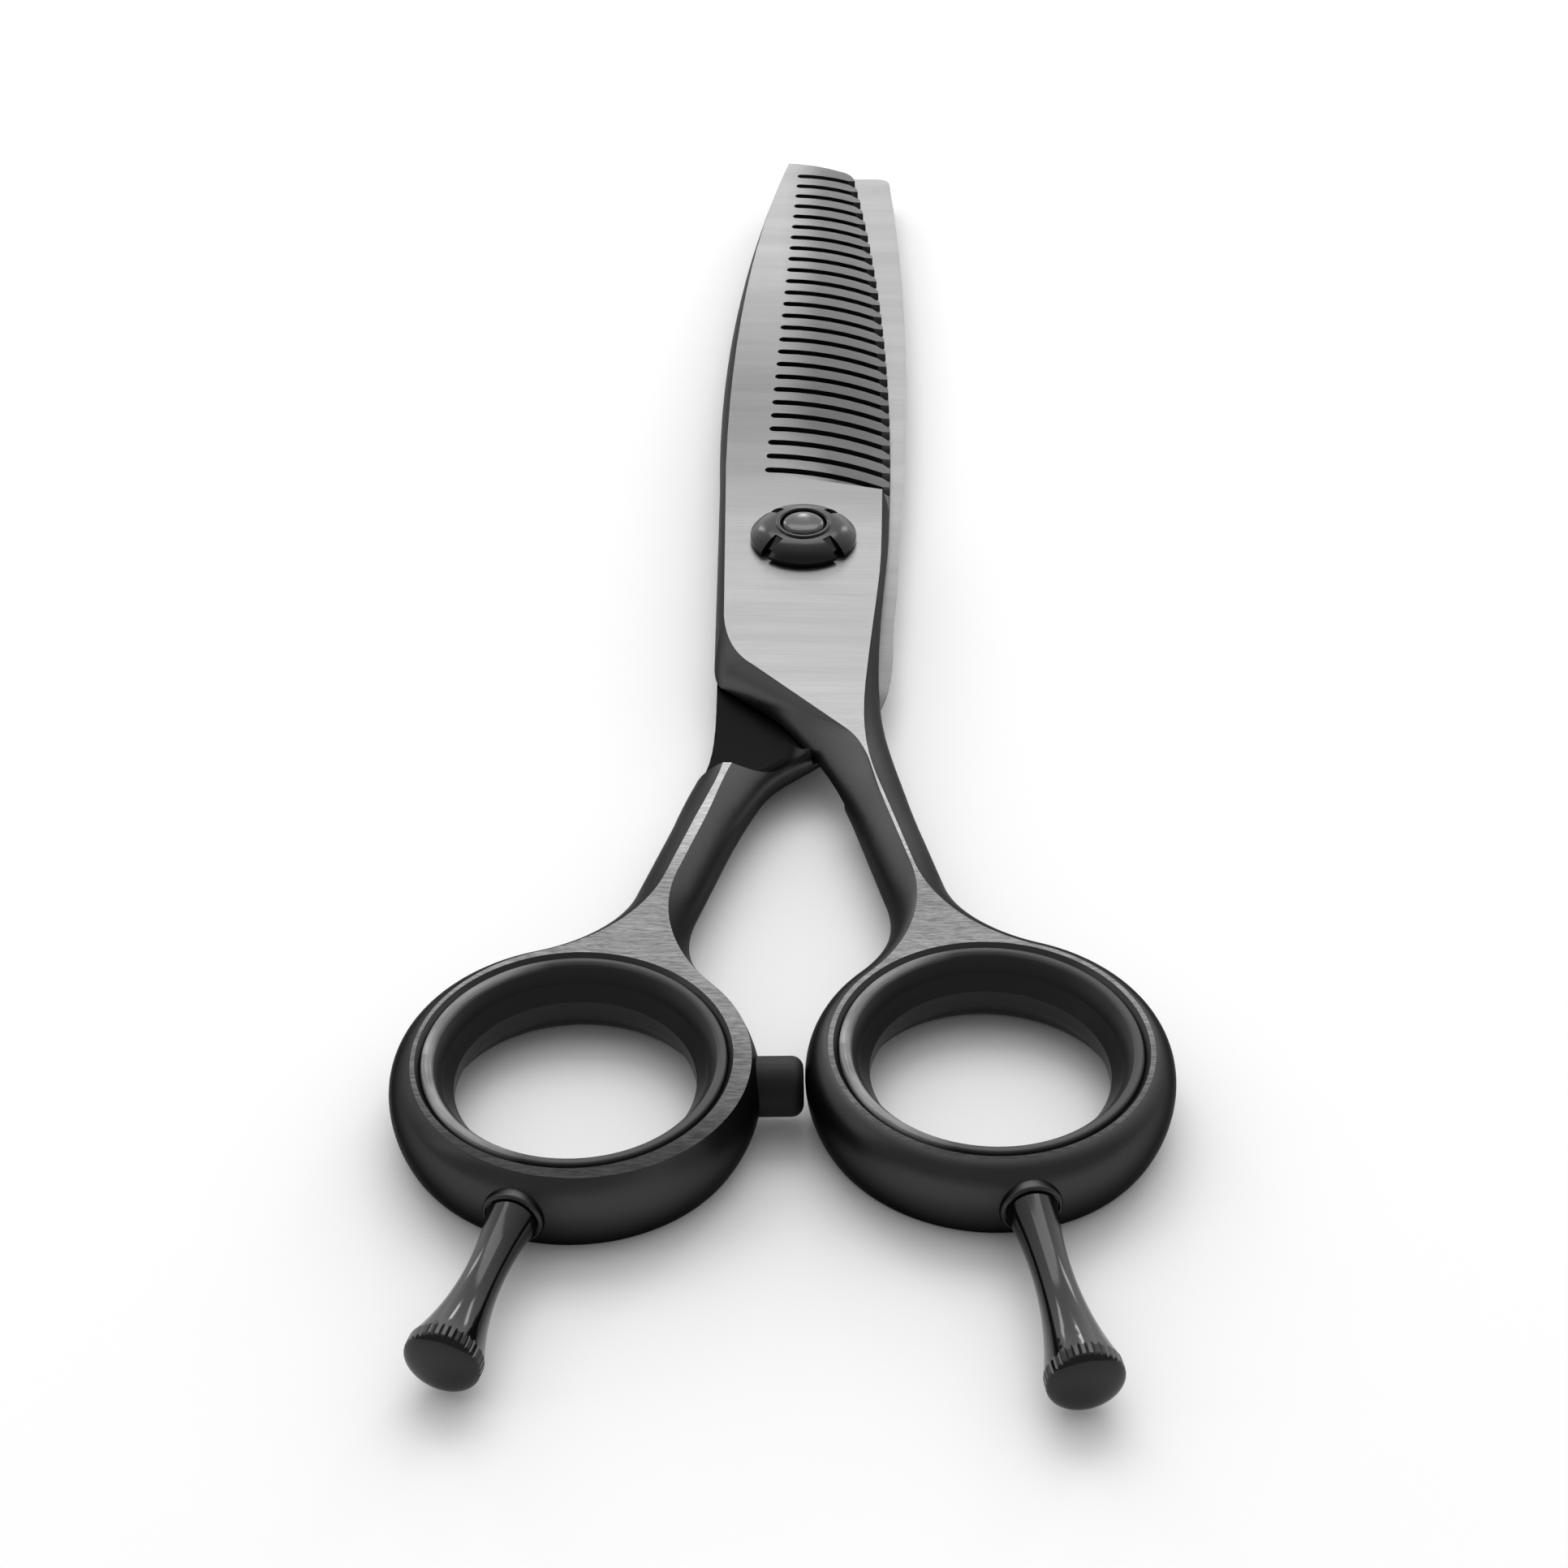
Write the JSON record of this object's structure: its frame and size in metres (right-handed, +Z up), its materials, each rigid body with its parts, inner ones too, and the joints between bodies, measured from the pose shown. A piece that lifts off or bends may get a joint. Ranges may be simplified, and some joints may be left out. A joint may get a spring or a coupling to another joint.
{
  "type": "thinning shears",
  "caption": "Hairdressing thinning shears: comb blade over a plain blade, dial-adjusted pivot, offset finger rings with liners, finger rests and a rubber stop.",
  "frame": {"origin": "on the pivot axis, in the plane the shears lie on", "axes": "+Y along the closed blades toward their tips, +Z up through the pivot toward the tension dial, +X toward the comb blade's finger ring"},
  "size_m": [0.0571, 0.1698, 0.0084],
  "materials": {
    "blade_steel": "dark coated steel with finely ground satin faces",
    "handle_coat": "satin black coating, faces ground through to a brushed grey",
    "gloss_coat": "glossy black coating on turned steel, knurled rim",
    "ring_liner": "smooth matte black moulded liner",
    "rubber": "matte black rubber",
    "dial_coat": "glossy black coated metal",
    "screw_coat": "polished black coated steel",
    "nylon": "natural nylon",
    "spring_steel": "bare spring steel"
  },
  "bodies": {
    "plain_half": {"plain_blade": "blade_steel", "plain_handle": "handle_coat", "plain_ring_insert": "ring_liner", "plain_finger_rest": "gloss_coat", "bumper": "rubber", "pivot_screw": "screw_coat", "blade_washer": "nylon", "thrust_washer": "spring_steel"},
    "comb_half": {"comb_blade": "blade_steel", "comb_handle": "handle_coat", "comb_ring_insert": "ring_liner", "comb_finger_rest": "gloss_coat", "pivot_sleeve": "nylon"},
    "click_plate": {"click_spring": "spring_steel"},
    "dial": {"tension_dial": "dial_coat"}
  },
  "joints": [
    {"name": "open_close", "type": "hinge", "parent": "plain_half", "child": "comb_half", "pos_m": [0, 0, 0.0032], "axis": [0, 0, 1], "range_deg": [0, 140]},
    {"name": "dial_turn", "type": "hinge", "parent": "plain_half", "child": "click_plate", "pos_m": [0, 0, 0.0068], "axis": [0, 0, 1], "range_deg": [-45, 180]},
    {"name": "dial_lift", "type": "slide", "parent": "click_plate", "child": "dial", "axis": [0, 0, 1], "range_m": [-0.0000625, 0.00025], "deforming": ["click_spring"]}
  ],
  "couplings": [
    {"joint": "dial_turn", "follows": "dial_lift", "rad_per_m": 12566}
  ]
}
